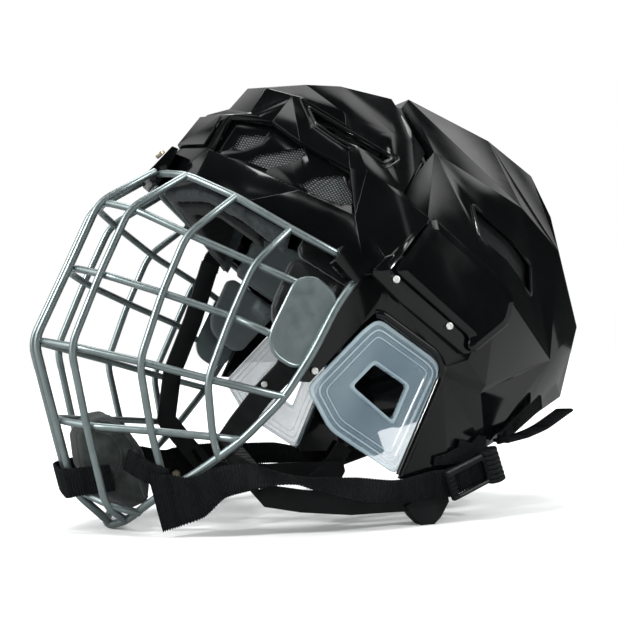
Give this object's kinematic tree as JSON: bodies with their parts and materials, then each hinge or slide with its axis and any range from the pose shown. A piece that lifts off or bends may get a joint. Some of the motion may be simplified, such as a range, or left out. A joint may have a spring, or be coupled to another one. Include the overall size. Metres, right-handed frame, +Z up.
{
  "type": "ice hockey helmet",
  "caption": "Two-piece black ice hockey helmet with a full wire face cage, clear ear guards, foam lining, chin cup and buckled chin straps, lying tipped back.",
  "frame": {"origin": "centre of the bounding box, on the surface that the helmet lies on", "axes": "-Y the way the face looks, +X the wearer's left, +Z up as the helmet lies"},
  "size_m": [0.205, 0.354, 0.2665],
  "materials": {
    "shell_gloss": "polished black moulded plastic",
    "trim_matte": "matt black moulded plastic",
    "webbing": "ribbed black woven web",
    "cage_steel": "satin bright wire, soldered at the crossings",
    "foam_grey": "smooth grey closed-cell foam",
    "foam_black": "dark closed-cell foam",
    "guard_clear": "milky clear moulded plastic",
    "cup_suede": "soft grey suede over foam",
    "brass": "plated screw and snap",
    "rivet_white": "pale rivet heads",
    "vent_mesh": "pale grey woven mesh"
  },
  "bodies": {
    "root": {"shell_front": "shell_gloss", "shell_rear": "shell_gloss", "side_plate_left": "shell_gloss", "side_plate_right": "shell_gloss", "plate_rivet_1_left": "rivet_white", "plate_rivet_1_right": "rivet_white", "plate_rivet_2_left": "rivet_white", "plate_rivet_2_right": "rivet_white", "ear_guard_left": "guard_clear", "ear_guard_right": "guard_clear", "cage": "cage_steel", "forehead_clip": "shell_gloss", "clip_screw": "brass", "side_clip_left": "shell_gloss", "side_clip_right": "shell_gloss", "vent_frame_left": "shell_gloss", "vent_frame_right": "shell_gloss", "vent_mesh_left": "vent_mesh", "vent_mesh_right": "vent_mesh", "crown_vent_left": "trim_matte", "crown_vent_right": "trim_matte", "badge_plate": "shell_gloss", "brow_liner": "foam_grey", "forehead_pad": "foam_black", "crown_liner": "foam_grey", "rear_liner": "foam_black", "lower_pad_left": "foam_grey", "lower_pad_right": "foam_grey", "upper_pad_left": "foam_grey", "upper_pad_right": "foam_grey", "ear_loop_left": "trim_matte", "ear_loop_right": "trim_matte", "chin_cup": "cup_suede", "chin_band": "webbing", "chin_strap_left": "webbing", "chin_strap_right": "webbing", "ladder_buckle_left": "trim_matte", "ladder_buckle_right": "trim_matte", "strap_anchor_left": "webbing", "strap_anchor_right": "webbing", "strap_tail_left": "webbing", "strap_tail_right": "webbing", "guard_rivet_left": "rivet_white", "guard_rivet_right": "rivet_white", "loop_rivet_left": "rivet_white", "strap_snap": "brass"}
  },
  "joints": []
}
